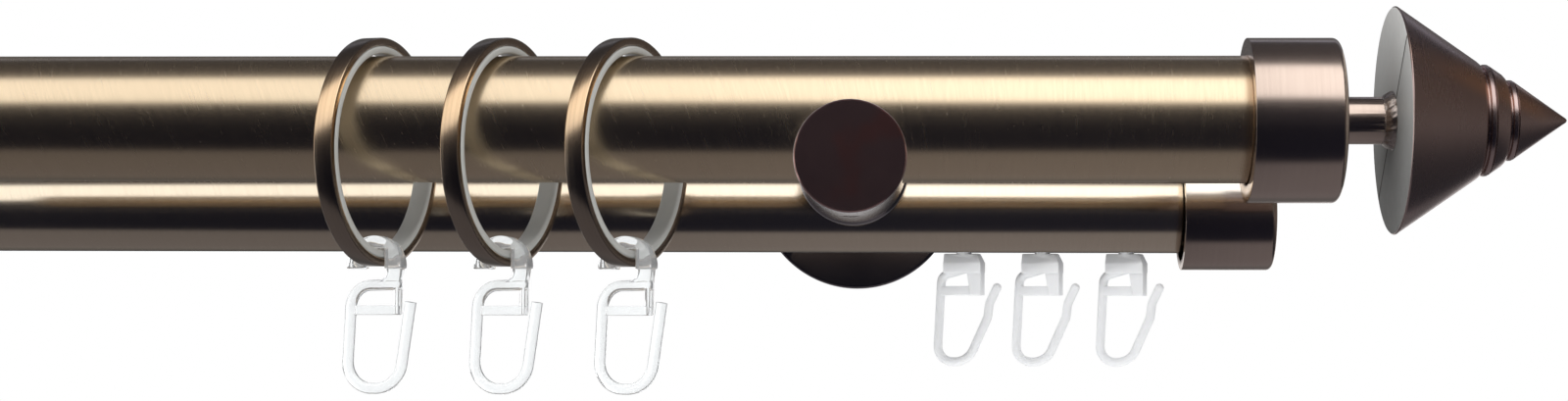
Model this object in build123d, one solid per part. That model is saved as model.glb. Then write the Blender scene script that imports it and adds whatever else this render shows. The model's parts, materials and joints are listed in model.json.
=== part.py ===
from build123d import *
import math
import os

# Double curtain pole on one wall bracket, in millimetres.
# X runs along the poles towards the finial, Y points into the wall and Z is up.
# The origin is the centre of the wall plate, on the wall.

# Bracket
plate_diameter = 52.0
plate_thickness = 5.0
plate_edge_round = 0.8
plate_screw_circle = 36.0
plate_screw_count = 3
plate_screw_hole = 4.5
plate_countersink = 8.6
arm_diameter = 24.4
rear_arm_diameter = 25.6
arm_joint_y = -88.0
arm_front_y = -139.0
arm_front_chamfer = 0.35
arm_joint_chamfer = 0.7
saddle_clearance = 0.05

# Poles
front_pole_diameter = 28.0
front_pole_wall = 1.0
front_pole_y = -120.0
front_pole_z = 9.2
back_pole_diameter = 20.0
back_pole_wall = 1.2
back_pole_y = -70.0
back_pole_z = -8.8
track_floor_depth = 6.2
track_slot_width = 4.6
poles_left_x = -214.0
plug_flange = 2.0
plug_depth = 11.0
plug_clearance = 0.05

# Finial
collar_left_x = 86.5
collar_diameter = 36.2
collar_length = 19.8
collar_bore = 28.5
collar_bore_depth = 15.2
collar_corner_round = 1.4
collar_drop = 0.23
stem_diameter = 10.4
stem_length = 12.0
stem_thread_diameter = 6.0
stem_collar_thread = 4.2
stem_cone_thread = 10.0
weld_height = 1.3
weld_length = 2.2
cone_diameter = 50.0
cone_length = 37.8
cone_tip_radius = 0.6
cone_rim_chamfer = 0.35

# End cap of the back pole
cap_left_x = 77.2
cap_diameter = 26.4
cap_length = 21.2
cap_bore = 22.0
cap_bore_depth = 14.8
cap_corner_round = 1.3
cap_drop = 0.58

# Curtain rings, their liners and clear hooks
ring_x = (-104.9, -76.8, -49.2)
ring_yaw = (17.5, 20.1, 22.7)
ring_diameter = 50.6
ring_metal = 1.8
ring_liner = 1.8
ring_width = 4.3
ring_lift = 0.4
hook_depth = 2.4
hook_dome_depth = 3.2
hook_rod = 2.4
hook_dome_radius = 6.7
hook_ring_gap = 0.45

# Track gliders
glider_x = (26.1, 44.6, 64.4)
glider_yaw = (16.3, 17.9, 19.6)
glider_gap = 0.05
glider_crease = 2.2
glider_head_diameter = 9.6
glider_head_height = 1.8
glider_neck_diameter = 3.6
glider_block_width = 9.1
glider_block_depth = 5.0
glider_block_height = 4.6
glider_rod = 2.1

# Small fasteners
grub_clearance = 0.02
small_grub_diameter = 4.0
large_grub_diameter = 5.0
front_pole_grub_length = 6.0
back_pole_grub_length = 9.5
collar_grub_length = 4.0
collar_grub_inset = 8.0
cap_grub_length = 3.7
cap_grub_inset = 7.0
stud_diameter = 8.0
stud_front_depth = 11.7
stud_rear_depth = 7.2
arm_screw_diameter = 6.0
arm_screw_end = 18.0

arm_radius = arm_diameter / 2
front_pole_radius = front_pole_diameter / 2
back_pole_radius = back_pole_diameter / 2
collar_right_x = collar_left_x + collar_length
cone_base_x = collar_right_x + stem_length
finial_z = front_pole_z - collar_drop
cap_z = back_pole_z - cap_drop
ring_inner_radius = ring_diameter / 2 - ring_metal - ring_liner
ring_z = front_pole_z + front_pole_radius + ring_lift - ring_inner_radius


def rod_x(radius, start, end, y=0.0, z=0.0):
    """A round rod along X between two places."""
    rod = Cylinder(radius, end - start, rotation=(0, 90, 0))
    return Pos((start + end) / 2, y, z) * rod


def rod_y(radius, start, end, x=0.0, z=0.0):
    """A round rod along Y between two places."""
    rod = Cylinder(radius, end - start, rotation=(90, 0, 0))
    return Pos(x, (start + end) / 2, z) * rod


def rod_z(radius, bottom, top, x=0.0, y=0.0):
    """A round rod along Z between two heights."""
    return Pos(x, y, (bottom + top) / 2) * Cylinder(radius, top - bottom)


def turned(profile, x, y, z):
    """A solid turned about an axis along X, from (distance, radius) points."""
    outline = make_face(Polyline(*[(a, 0, r) for a, r in profile], close=True).edges())
    return Pos(x, y, z) * revolve(outline, axis=Axis.X)


def grub_screw(diameter, length):
    """A headless screw with a hexagon socket in its upper end, standing on its tip."""
    radius = diameter / 2
    tip = radius * 0.3
    screw = Cylinder(radius, length, align=(Align.CENTER, Align.CENTER, Align.MIN))
    screw = chamfer(screw.edges().group_by(Axis.Z)[0], tip)
    hexagon = Plane.XY.offset(length) * RegularPolygon(radius / 2, 6, major_radius=False)
    return screw - extrude(hexagon, -diameter * 0.45)


def wall_plate():
    """Round plate with three countersunk wall screw holes and the arm screw's hole."""
    plate = rod_y(plate_diameter / 2, -plate_thickness, 0)
    plate = fillet(plate.edges().group_by(Axis.Y)[0], plate_edge_round)
    sink_depth = (plate_countersink - plate_screw_hole) / 2
    for index in range(plate_screw_count):
        angle = math.radians(90 + index * 360 / plate_screw_count)
        x = plate_screw_circle / 2 * math.cos(angle)
        z = plate_screw_circle / 2 * math.sin(angle)
        plate -= rod_y(plate_screw_hole / 2, -plate_thickness - 1, 1, x, z)
        sink = Cone(plate_countersink / 2, plate_screw_hole / 2, sink_depth, rotation=(-90, 0, 0))
        plate -= Pos(x, -plate_thickness + sink_depth / 2, z) * sink
    plate -= rod_y(arm_screw_diameter / 2 + 0.2, -plate_thickness - 1, 1)
    head = Cone(arm_screw_diameter + 0.1, arm_screw_diameter / 2 + 0.2, 3.1, rotation=(90, 0, 0))
    return plate - Pos(0, -1.55, 0) * head


def arm_screw():
    """Countersunk screw that holds the rear arm on the wall plate."""
    radius = arm_screw_diameter / 2
    shank = rod_y(radius, -arm_screw_end, -0.4)
    head = Cone(arm_screw_diameter - 0.2, radius, 2.8, rotation=(90, 0, 0))
    screw = shank + Pos(0, -1.7, 0) * head
    hexagon = Plane(origin=(0, 0, 0), z_dir=(0, -1, 0)) * RegularPolygon(2.0, 6, major_radius=False)
    return screw - extrude(hexagon, 2.4)


def rear_arm():
    """Round arm from the wall plate, notched from below for the back pole."""
    radius = rear_arm_diameter / 2
    arm = rod_y(radius, arm_joint_y, -plate_thickness)
    arm = chamfer(arm.edges().group_by(Axis.Y)[0], arm_joint_chamfer)
    saddle = back_pole_radius + saddle_clearance
    arm -= rod_x(saddle, -radius - 1, radius + 1, back_pole_y, back_pole_z)
    arm -= rod_y(arm_screw_diameter / 2 + grub_clearance, -arm_screw_end - 2, -plate_thickness + 1)
    arm -= rod_y(stud_diameter / 2 + grub_clearance, arm_joint_y - 1, arm_joint_y + stud_rear_depth + 0.3)
    return arm - rod_z(large_grub_diameter / 2 + grub_clearance, back_pole_z, radius + 1, 0, back_pole_y)


def front_arm():
    """Round arm with a cross bore for the front pole, closed by its flat front face."""
    arm = rod_y(arm_radius, arm_front_y, arm_joint_y)
    arm = chamfer(arm.edges().group_by(Axis.Y)[0], arm_front_chamfer)
    arm = chamfer(arm.edges().group_by(Axis.Y)[-1], arm_joint_chamfer)
    saddle = front_pole_radius + saddle_clearance
    arm -= rod_x(saddle, -arm_radius - 1, arm_radius + 1, front_pole_y, front_pole_z)
    arm -= rod_y(stud_diameter / 2 + grub_clearance, arm_joint_y - stud_front_depth - 0.3, arm_joint_y + 1)
    return arm - rod_z(small_grub_diameter / 2 + grub_clearance, -arm_radius - 1, front_pole_z, 0, front_pole_y)


def arm_stud():
    """Threaded stud that joins the two arms."""
    stud = rod_y(stud_diameter / 2, arm_joint_y - stud_front_depth, arm_joint_y + stud_rear_depth)
    return chamfer(stud.edges().filter_by(GeomType.CIRCLE), 0.8)


def front_pole():
    """Thin round tube."""
    end = collar_left_x + collar_bore_depth - 0.4
    tube = rod_x(front_pole_radius, poles_left_x, end, front_pole_y, front_pole_z)
    inner = front_pole_radius - front_pole_wall
    return tube - rod_x(inner, poles_left_x - 1, end + 1, front_pole_y, front_pole_z)


def track_section(wall_gap=0.0):
    """Hollow of the back pole's track: round above, with a flat floor."""
    inner = back_pole_radius - back_pole_wall - wall_gap
    floor = -track_floor_depth + wall_gap
    keep = Pos(0, floor + back_pole_diameter / 2) * Rectangle(back_pole_diameter, back_pole_diameter)
    return Circle(inner) & keep


def back_pole():
    """Round track pole with a glider slot along its underside."""
    end = cap_left_x + cap_bore_depth - 0.6
    section = Circle(back_pole_radius) - track_section()
    section -= Pos(0, -back_pole_radius) * Rectangle(track_slot_width, back_pole_diameter)
    start = Plane(origin=(poles_left_x, back_pole_y, back_pole_z), x_dir=(0, 1, 0), z_dir=(1, 0, 0))
    return extrude(start * section, end - poles_left_x)


def front_end_plug():
    """Plain plug in the front pole's left end."""
    start = poles_left_x
    flange = rod_x(front_pole_radius, start - plug_flange, start, front_pole_y, front_pole_z)
    flange = fillet(flange.edges().group_by(Axis.X)[0], 0.6)
    inner = front_pole_radius - front_pole_wall - plug_clearance
    body = rod_x(inner, start - 0.5, start + plug_depth, front_pole_y, front_pole_z)
    hollow = rod_x(inner - 2.0, start + 1, start + plug_depth + 1, front_pole_y, front_pole_z)
    return flange + (body - hollow)


def back_end_plug():
    """Plain plug in the back pole's left end, shaped to the track."""
    start = poles_left_x
    flange = rod_x(back_pole_radius, start - plug_flange, start, back_pole_y, back_pole_z)
    flange = fillet(flange.edges().group_by(Axis.X)[0], 0.6)
    plane = Plane(origin=(start - 0.5, back_pole_y, back_pole_z), x_dir=(0, 1, 0), z_dir=(1, 0, 0))
    return flange + extrude(plane * track_section(plug_clearance), plug_depth + 0.5)


def finial_collar():
    """Cup that slips over the front pole's end and carries the finial's stem."""
    collar = rod_x(collar_diameter / 2, collar_left_x, collar_right_x, front_pole_y, finial_z)
    collar = fillet(collar.edges().group_by(Axis.X)[-1], collar_corner_round)
    bore_end = collar_left_x + collar_bore_depth
    collar -= rod_x(collar_bore / 2, collar_left_x - 1, bore_end, front_pole_y, finial_z)
    thread = stem_thread_diameter / 2 + grub_clearance
    collar -= rod_x(thread, bore_end - 1, collar_right_x + 1, front_pole_y, finial_z)
    low = finial_z - collar_diameter / 2 - 1
    grub_x = collar_left_x + collar_grub_inset
    return collar - rod_z(small_grub_diameter / 2 + grub_clearance, low, finial_z - 12, grub_x, front_pole_y)


def finial_stem():
    """Round pin between collar and cone, threaded at one end and welded at the other."""
    radius = stem_diameter / 2
    thread = stem_thread_diameter / 2
    pin = rod_x(radius, collar_right_x, cone_base_x, front_pole_y, finial_z)
    pin += rod_x(thread, collar_right_x - stem_collar_thread, collar_right_x + 1, front_pole_y, finial_z)
    pin += rod_x(thread, cone_base_x - 1, cone_base_x + stem_cone_thread, front_pole_y, finial_z)
    bead = [(0, 0), (0, radius + weld_height), (-weld_length * 0.45, radius + weld_height * 0.8),
            (-weld_length, radius), (-weld_length, 0)]
    return pin + turned(bead, cone_base_x, front_pole_y, finial_z)


def finial_cone():
    """Turned cone in three steps, each set off by a groove and a short round band."""
    profile = [
        (0, 0), (0, cone_diameter / 2 - cone_rim_chamfer), (cone_rim_chamfer, cone_diameter / 2),
        (17.6, 13.1), (18.3, 12.5), (18.7, 11.6), (18.7, 11.1), (19.2, 11.1),
        (19.2, 11.8), (19.4, 12.1), (19.7, 12.2), (20.0, 12.1), (20.2, 11.8), (20.2, 11.3), (20.5, 11.3),
        (20.5, 12.0), (23.2, 10.15), (23.8, 9.5), (24.1, 8.9), (24.1, 8.0), (24.6, 8.0),
        (24.6, 8.4), (24.8, 8.7), (25.1, 8.8), (25.4, 8.7), (25.6, 8.4), (25.6, 8.0), (25.9, 8.0),
        (25.9, 8.6),
        (cone_length - cone_tip_radius * 0.45, cone_tip_radius * 0.8),
        (cone_length - cone_tip_radius * 0.12, cone_tip_radius * 0.4), (cone_length, 0),
    ]
    cone = turned(profile, cone_base_x, front_pole_y, finial_z)
    thread = stem_thread_diameter / 2 + grub_clearance
    hole_end = cone_base_x + stem_cone_thread + 0.5
    return cone - rod_x(thread, cone_base_x - 1, hole_end, front_pole_y, finial_z)


def back_end_cap():
    """Cup that closes the back pole's right end."""
    right = cap_left_x + cap_length
    cap = rod_x(cap_diameter / 2, cap_left_x, right, back_pole_y, cap_z)
    cap = fillet(cap.edges().group_by(Axis.X)[-1], cap_corner_round)
    cap -= rod_x(cap_bore / 2, cap_left_x - 1, cap_left_x + cap_bore_depth, back_pole_y, cap_z)
    low = cap_z - cap_diameter / 2 - 1
    grub_x = cap_left_x + cap_grub_inset
    return cap - rod_z(large_grub_diameter / 2 + grub_clearance, low, cap_z - 8, grub_x, back_pole_y)


def placed_on_ring(shape, index):
    """Turn a shape made about a ring's centre to that ring's yaw, and move it there."""
    return Pos(ring_x[index], front_pole_y, ring_z) * Rot(0, 0, -ring_yaw[index]) * shape


def curtain_ring():
    """Flat metal band with softened outer edges, its axis along X."""
    outer = ring_diameter / 2
    band = rod_x(outer, -ring_width / 2, ring_width / 2)
    band = chamfer(band.edges().filter_by(GeomType.CIRCLE), 0.35)
    return band - rod_x(outer - ring_metal, -ring_width, ring_width)


def ring_liner_sleeve():
    """Plastic lining inside the metal band, rounded where it slides on the pole."""
    outer = ring_diameter / 2 - ring_metal
    sleeve = rod_x(outer, -ring_width / 2, ring_width / 2)
    sleeve -= rod_x(ring_inner_radius, -ring_width, ring_width)
    inner_edges = sleeve.edges().filter_by(GeomType.CIRCLE).sort_by(SortBy.RADIUS)[0:2]
    return fillet(inner_edges, 0.5)


def bent_bar(points, radii, thickness, depth, corner):
    """A bar of rounded rectangular section bent along a path in the XZ plane."""
    path = FilletPolyline(*[(a, 0, z) for a, z in points], radius=radii)
    plane = Plane(origin=path @ 0, x_dir=(0, 1, 0), z_dir=path % 0)
    return sweep(plane * RectangleRounded(depth, thickness, corner), path=path)


def flat_bar(points, depth):
    """A flat piece with a straight-sided outline in the XZ plane."""
    outline = make_face(Polyline(*[(a, 0, z) for a, z in points], close=True).edges())
    return extrude(outline, depth / 2, both=True)


def ring_hook():
    """Clear one-piece hook: an arch that fits over the ring's band, a stem and a J below it."""
    band_bottom = -ring_diameter / 2
    arch_z = band_bottom + 0.1
    arch = rod_y(hook_dome_radius, -hook_dome_depth / 2, hook_dome_depth / 2, 0, arch_z)
    arch = fillet(arch.edges().filter_by(GeomType.CIRCLE), 0.6)
    band_top = band_bottom + ring_metal + ring_liner + hook_ring_gap
    below = hook_dome_radius * 2
    arch -= Pos(0, 0, band_top - below / 2) * Box(ring_width + hook_ring_gap * 2, below, below)
    arch -= Pos(0, 0, arch_z - 0.6 - below / 2) * Box(below * 2, below, below)
    stem = flat_bar([(2.7, -24.9), (6.6, -24.9), (6.1, -28.0), (5.9, -36.0), (4.6, -36.0), (4.6, -28.6),
                     (0.6, -28.9), (2.3, -27.8), (2.9, -26.6)], hook_depth)
    crossbar = flat_bar([(-6.2, -33.9), (5.9, -33.9), (5.9, -36.0), (-6.2, -36.0)], hook_depth * 0.7)
    loop = bent_bar([(5.4, -29.3), (-6.0, -29.6), (-7.2, -52.2), (5.6, -52.2), (8.5, -33.2)],
                    [5.0, 5.8, 6.4], hook_rod, hook_depth, 0.55)
    return arch + stem + crossbar + loop


def track_glider():
    """White one-piece glider about its own upright axis, at the height of the back pole."""
    floor_z = back_pole_z - track_floor_depth
    head_bottom = floor_z + 0.3
    top = back_pole_z - back_pole_radius - glider_gap
    head = rod_z(glider_head_diameter / 2, head_bottom, head_bottom + glider_head_height)
    head = fillet(head.edges().filter_by(GeomType.CIRCLE), 0.4)
    neck = rod_z(glider_neck_diameter / 2, top - 0.5, head_bottom + 0.5)
    bottom = top - glider_block_height
    half_depth = glider_block_depth / 2
    crease = bottom + glider_crease
    side = [(-half_depth, bottom), (half_depth, bottom), (half_depth, crease), (half_depth - 1.3, top),
            (-half_depth + 1.3, top), (-half_depth, crease)]
    outline = make_face(Polyline(*[(0, y, z) for y, z in side], close=True).edges())
    block = extrude(outline, glider_block_width / 2, both=True)
    right = glider_block_width / 2
    stem = flat_bar([(1.0, bottom + 0.5), (right, bottom + 0.5), (right, -28.7), (2.0, -28.7)],
                    glider_block_depth * 0.8)
    crossbar = flat_bar([(-5.8, -26.5), (right, -26.5), (right, -28.7), (-5.8, -28.7)], glider_rod)
    path = FilletPolyline(
        *[(a, 0, z) for a, z in [(-1.4, -23.2), (-5.5, -23.9), (-6.6, -44.4), (0.9, -44.4),
                                 (5.8, -33.8), (6.2, -30.6), (8.0, -26.9)]],
        radius=[2.2, 3.6, 5.0, 3.0, 3.0])
    plane = Plane(origin=path @ 0, z_dir=path % 0)
    loop = sweep(plane * Circle(glider_rod / 2), path=path)
    tip = Pos(path @ 1) * Sphere(glider_rod / 2)
    return head + neck + block + stem + crossbar + loop + tip


nodes = {
    "wall_plate": wall_plate(),
    "arm_screw": arm_screw(),
    "rear_arm": rear_arm(),
    "front_arm": front_arm(),
    "arm_stud": arm_stud(),
    "front_pole": front_pole(),
    "back_pole": back_pole(),
    "front_end_plug": front_end_plug(),
    "back_end_plug": back_end_plug(),
    "finial_collar": finial_collar(),
    "finial_stem": finial_stem(),
    "finial_cone": finial_cone(),
    "back_end_cap": back_end_cap(),
}

front_pole_bottom = front_pole_z - front_pole_radius
back_pole_top = back_pole_z + back_pole_radius
slot_lip_z = back_pole_z - math.sqrt(back_pole_radius**2 - (track_slot_width / 2)**2)
upside_down = Rot(180, 0, 0)

front_grub = upside_down * grub_screw(small_grub_diameter, front_pole_grub_length)
nodes["front_pole_grub_screw"] = Pos(0, front_pole_y, front_pole_bottom - 0.03) * front_grub
back_grub = grub_screw(large_grub_diameter, back_pole_grub_length)
nodes["back_pole_grub_screw"] = Pos(0, back_pole_y, back_pole_top + 0.03) * back_grub
collar_grub = upside_down * grub_screw(small_grub_diameter, collar_grub_length)
collar_grub_x = collar_left_x + collar_grub_inset
nodes["collar_grub_screw"] = Pos(collar_grub_x, front_pole_y, front_pole_bottom - 0.03) * collar_grub
cap_grub = upside_down * grub_screw(large_grub_diameter, cap_grub_length)
cap_grub_x = cap_left_x + cap_grub_inset
nodes["cap_grub_screw"] = Pos(cap_grub_x, back_pole_y, slot_lip_z - 0.05) * cap_grub

for number, (x, yaw) in enumerate(zip(glider_x, glider_yaw), start=1):
    nodes[f"track_glider_{number}"] = Pos(x, back_pole_y, 0) * Rot(0, 0, -yaw) * track_glider()
for index in range(len(ring_x)):
    nodes[f"curtain_ring_{index + 1}"] = placed_on_ring(curtain_ring(), index)
    nodes[f"ring_liner_{index + 1}"] = placed_on_ring(ring_liner_sleeve(), index)
    nodes[f"ring_hook_{index + 1}"] = placed_on_ring(ring_hook(), index)

os.makedirs("parts", exist_ok=True)
for name, shape in nodes.items():
    export_step(shape, f"parts/{name}.step")
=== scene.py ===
import json
import math

import bmesh
import bpy
from mathutils import Matrix, Quaternion, Vector


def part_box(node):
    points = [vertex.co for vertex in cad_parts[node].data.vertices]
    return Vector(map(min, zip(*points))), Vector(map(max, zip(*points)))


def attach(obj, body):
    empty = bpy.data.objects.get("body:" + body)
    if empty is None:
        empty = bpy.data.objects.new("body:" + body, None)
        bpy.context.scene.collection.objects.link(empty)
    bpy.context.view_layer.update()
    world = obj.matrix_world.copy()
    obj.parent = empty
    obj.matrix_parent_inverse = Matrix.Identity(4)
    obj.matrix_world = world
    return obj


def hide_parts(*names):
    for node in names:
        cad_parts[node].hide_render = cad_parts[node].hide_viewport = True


# Double curtain pole: turned and brushed metal on one wall bracket, clear hooks and milky gliders
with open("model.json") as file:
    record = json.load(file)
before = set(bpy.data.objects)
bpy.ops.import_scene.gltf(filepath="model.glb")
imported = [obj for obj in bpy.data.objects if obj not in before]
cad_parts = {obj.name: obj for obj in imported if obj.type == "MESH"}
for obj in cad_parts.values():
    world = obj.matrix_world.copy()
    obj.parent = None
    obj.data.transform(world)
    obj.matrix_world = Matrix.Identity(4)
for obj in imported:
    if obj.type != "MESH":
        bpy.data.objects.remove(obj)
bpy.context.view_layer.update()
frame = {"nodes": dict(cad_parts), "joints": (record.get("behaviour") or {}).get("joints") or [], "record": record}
record = frame["record"]
joints = {joint["name"]: joint for joint in frame["joints"]}
bodyOf = {node: body for body, members in record["behaviour"]["bodies"].items() for node in members}
scene = bpy.context.scene
mm = 0.001
print("frame loaded:", len(frame["nodes"]), "nodes")


# A number on its way through a shader; arithmetic on it adds Math nodes
class Number:
    def __init__(self, finish, socket):
        self.finish = finish
        self.socket = socket

    def combine(self, operation, first, second=None):
        inputs = {0: first} if second is None else {0: first, 1: second}
        return self.finish.add("ShaderNodeMath", {"operation": operation}, inputs)

    def __add__(self, other):
        return self.combine("ADD", self, other)

    def __radd__(self, other):
        return self.combine("ADD", other, self)

    def __sub__(self, other):
        return self.combine("SUBTRACT", self, other)

    def __rsub__(self, other):
        return self.combine("SUBTRACT", other, self)

    def __mul__(self, other):
        return self.combine("MULTIPLY", self, other)

    def __rmul__(self, other):
        return self.combine("MULTIPLY", other, self)

    def __truediv__(self, other):
        return self.combine("DIVIDE", self, other)

    def root(self):
        return self.combine("SQRT", self)

    def size(self):
        return self.combine("ABSOLUTE", self)

    # 0 below low, 1 above high, smooth between
    def step(self, low, high):
        inputs = {"Value": self, "From Min": low, "From Max": high}
        settings = {"interpolation_type": "SMOOTHSTEP", "clamp": True}
        return self.finish.add("ShaderNodeMapRange", settings, inputs)


# One material and the nodes that go into it
class Finish:
    def __init__(self, name):
        self.material = bpy.data.materials.new(name)
        self.material.use_nodes = True
        self.tree = self.material.node_tree
        self.tree.nodes.clear()

    def add(self, kind, settings=None, inputs=None, output=0):
        node = self.tree.nodes.new(kind)
        for key, value in (settings or {}).items():
            if key == "stops":
                self.setStops(node.color_ramp, value)
            else:
                setattr(node, key, value)
        for key, value in (inputs or {}).items():
            if isinstance(value, Number):
                self.tree.links.new(value.socket, node.inputs[key])
            else:
                node.inputs[key].default_value = value
        return Number(self, node.outputs[output]) if len(node.outputs) else node

    def setStops(self, ramp, stops):
        while len(ramp.elements) < len(stops):
            ramp.elements.new(1.0)
        for element, (position, colour) in zip(ramp.elements, stops):
            element.position = position
            element.color = colour

    def place(self):
        return self.add("ShaderNodeTexCoord", output="Object")

    def split(self, vector):
        node = self.add("ShaderNodeSeparateXYZ", inputs={0: vector}).socket.node
        return [Number(self, output) for output in node.outputs]

    def join(self, x, y, z):
        return self.add("ShaderNodeCombineXYZ", inputs={0: x, 1: y, 2: z})

    def noise(self, vector, scale, detail=3.0, roughness=0.55):
        inputs = {"Vector": vector, "Scale": scale, "Detail": detail, "Roughness": roughness}
        return self.add("ShaderNodeTexNoise", {"noise_dimensions": "3D"}, inputs)

    def blend(self, factor, first, second):
        inputs = {0: factor, 6: first, 7: second}
        return self.add("ShaderNodeMix", {"data_type": "RGBA"}, inputs, output=2)

    def bump(self, height, distance, strength=1.0, normal=None):
        inputs = {"Height": height, "Distance": distance, "Strength": strength}
        if normal is not None:
            inputs["Normal"] = normal
        return self.add("ShaderNodeBump", inputs=inputs)

    def surface(self, **inputs):
        named = {key.replace("_", " "): value for key, value in inputs.items()}
        shader = self.add("ShaderNodeBsdfPrincipled", inputs=named)
        self.add("ShaderNodeOutputMaterial", inputs={"Surface": shader})
        return self.material


def shade(red, green, blue):
    return (red, green, blue, 1.0)


# Brushed and turned metals. Each pole has its light tone, dark tone and roughness; the back pole's tones are a
# paler, whiter copy of the same brass, a painted highlight.
brassLook = {"front": (shade(0.86, 0.69, 0.47), shade(0.72, 0.56, 0.38), 0.25),
             "back": (shade(0.94, 0.80, 0.62), shade(0.80, 0.67, 0.50), 0.20),
             "slant": 0.42, "linesPerMetre": 2600.0, "strokesPerMetre": 1500.0, "lineDepth": 0.000008}
bronzeLook = {"light": shade(0.69, 0.56, 0.47), "dark": shade(0.53, 0.41, 0.34), "roughness": 0.21,
              "linesPerMetre": 3000.0, "lineDepth": 0.000008}
ringLook = {"light": shade(0.90, 0.64, 0.39), "dark": shade(0.70, 0.48, 0.29), "roughness": 0.23,
            "linesPerMetre": 2600.0, "lineDepth": 0.000005}


# Fine lines and coarser strokes run round the pole, and lean like a hand's stroke on its left half
def brassFinish(name, tones):
    look = brassLook
    light, dark, baseRoughness = tones
    finish = Finish(name)
    place = finish.place()
    x, y, z = finish.split(place)
    lean = look["slant"] * (1 - x.step(-0.06, 0.06))
    along = x + lean * z
    lines = finish.noise(finish.join(along * look["linesPerMetre"], y * 130, z * 130), 1.0, 4.0, 0.6)
    strokePlace = finish.join(along * look["strokesPerMetre"], y * 160 + 7, z * 160)
    strokes = finish.noise(strokePlace, 1.0, 3.0, 0.6)
    patches = finish.noise(finish.join(x * 9, y * 30, z * 30), 1.0, 2.0)
    tone = lines * 0.45 + patches * 0.3 + strokes * 0.25
    colour = finish.blend(tone, light, dark)
    roughness = baseRoughness + (lines - 0.5) * 0.10 + (strokes - 0.5) * 0.09
    height = lines * 0.7 + strokes * 0.08
    return finish.surface(Base_Color=colour, Metallic=1.0, Roughness=roughness,
                          Normal=finish.bump(height, look["lineDepth"]))


# Turned metal: lines follow the profile, so they ring round a rod and circle on a flat end.
# The axis letter is the one that the piece was turned about, through the given centre.
def turnedFinish(name, look, axis, centre, patchy=0.3):
    finish = Finish(name)
    place = finish.add("ShaderNodeMapping", {"vector_type": "POINT"},
                       {"Vector": finish.place(), "Location": [-value for value in centre]})
    x, y, z = finish.split(place)
    length, across, up = (x, y, z) if axis == "x" else (y, x, z)
    radius = (across * across + up * up).root()
    profile = length + radius
    lines = finish.noise(finish.join(profile * look["linesPerMetre"], across * 50, up * 50), 1.0, 4.0, 0.6)
    coarse = finish.noise(finish.join(profile * 700, across * 16, up * 16), 1.0, 2.0, 0.5)
    patches = finish.noise(place, 75.0, 3.0, 0.6)
    tone = lines * 0.3 + coarse * 0.25 + patches * patchy
    colour = finish.blend(tone, look["light"], look["dark"])
    roughness = look["roughness"] + (lines - 0.5) * 0.08 + (patches - 0.5) * 0.10
    height = lines * 0.6 + coarse * 0.5
    return finish, colour, roughness, finish.bump(height, look["lineDepth"]), (x, y, z), radius


def turnedMetal(name, look, axis, centre, patchy=0.3):
    finish, colour, roughness, normal, _, _ = turnedFinish(name, look, axis, centre, patchy)
    return finish.surface(Base_Color=colour, Metallic=1.0, Roughness=roughness, Normal=normal)


# Plated screw steel with faint patches
def steelFinish():
    finish = Finish("zincSteel")
    place = finish.place()
    patches = finish.noise(place, 300.0, 3.0)
    colour = finish.blend(patches, shade(0.62, 0.62, 0.63), shade(0.48, 0.48, 0.50))
    return finish.surface(Base_Color=colour, Metallic=1.0, Roughness=0.28 + patches * 0.12,
                          Normal=finish.bump(finish.noise(place, 1800.0, 2.0), 0.00001))


# Moulded plastics: a slight cloudiness, and a skin with a very fine texture
def plasticFinish(name, light, dark, roughness, grain=0.00002, unevenness=0.08, **more):
    finish = Finish(name)
    place = finish.place()
    cloud = finish.noise(place, 160.0, 3.0)
    skin = finish.noise(place, 1500.0, 2.0)
    colour = finish.blend(cloud, light, dark)
    return finish.surface(Base_Color=colour, Roughness=roughness + cloud * unevenness,
                          Normal=finish.bump(skin, grain), **more)


clearLook = {"IOR": 1.46, "Transmission_Weight": 0.82}
milkyLook = {"Subsurface_Weight": 0.35, "Subsurface_Scale": 1.0,
             "Subsurface_Radius": (0.0016, 0.0016, 0.0017)}
frontBrass = brassFinish("antiqueBrassFront", brassLook["front"])
# Painted highlight: the back pole takes the paler copy of the brass so that its highlight shows whiter
backBrassPaintedHighlight = brassFinish("antiqueBrassBackPaintedHighlight", brassLook["back"])
zinc = steelFinish()
linerPlastic = plasticFinish("linerPlastic", shade(0.44, 0.44, 0.42), shade(0.36, 0.36, 0.34), 0.26)
clearPlastic = plasticFinish("clearPlastic", shade(0.97, 0.985, 0.99), shade(0.93, 0.95, 0.96), 0.002,
                             grain=0.0000004, unevenness=0.012, **clearLook)
milkyPlastic = plasticFinish("milkyPlastic", shade(0.86, 0.87, 0.88), shade(0.80, 0.81, 0.83), 0.26,
                             grain=0.00001, **milkyLook)
darkPlastic = plasticFinish("darkPlastic", shade(0.05, 0.045, 0.04), shade(0.035, 0.03, 0.028), 0.40)
print("finishes made")


# A finished mesh as a piece that stands for its node
def addPiece(name, mesh, material, node, smoothAngle=32):
    mesh.shade_smooth()
    mesh.set_sharp_from_angle(angle=math.radians(smoothAngle))
    mesh.materials.clear()
    mesh.materials.append(material)
    piece = bpy.data.objects.new(name, mesh)
    scene.collection.objects.link(piece)
    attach(piece, bodyOf[node])
    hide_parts(node)
    return piece


def meshOf(name, shape):
    mesh = bpy.data.meshes.new(name)
    shape.to_mesh(mesh)
    shape.free()
    return mesh


def vertsAmong(items):
    return [item for item in items if isinstance(item, bmesh.types.BMVert)]


def softenEdges(shape, width, segments=3, angle=30):
    sharp = [edge for edge in shape.edges
             if len(edge.link_faces) == 2 and edge.calc_face_angle() > math.radians(angle)]
    bmesh.ops.bevel(shape, geom=sharp, offset=width * mm, offset_type="OFFSET", affect="EDGES",
                    segments=segments, profile=0.5, material=-1, clamp_overlap=True)


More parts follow.
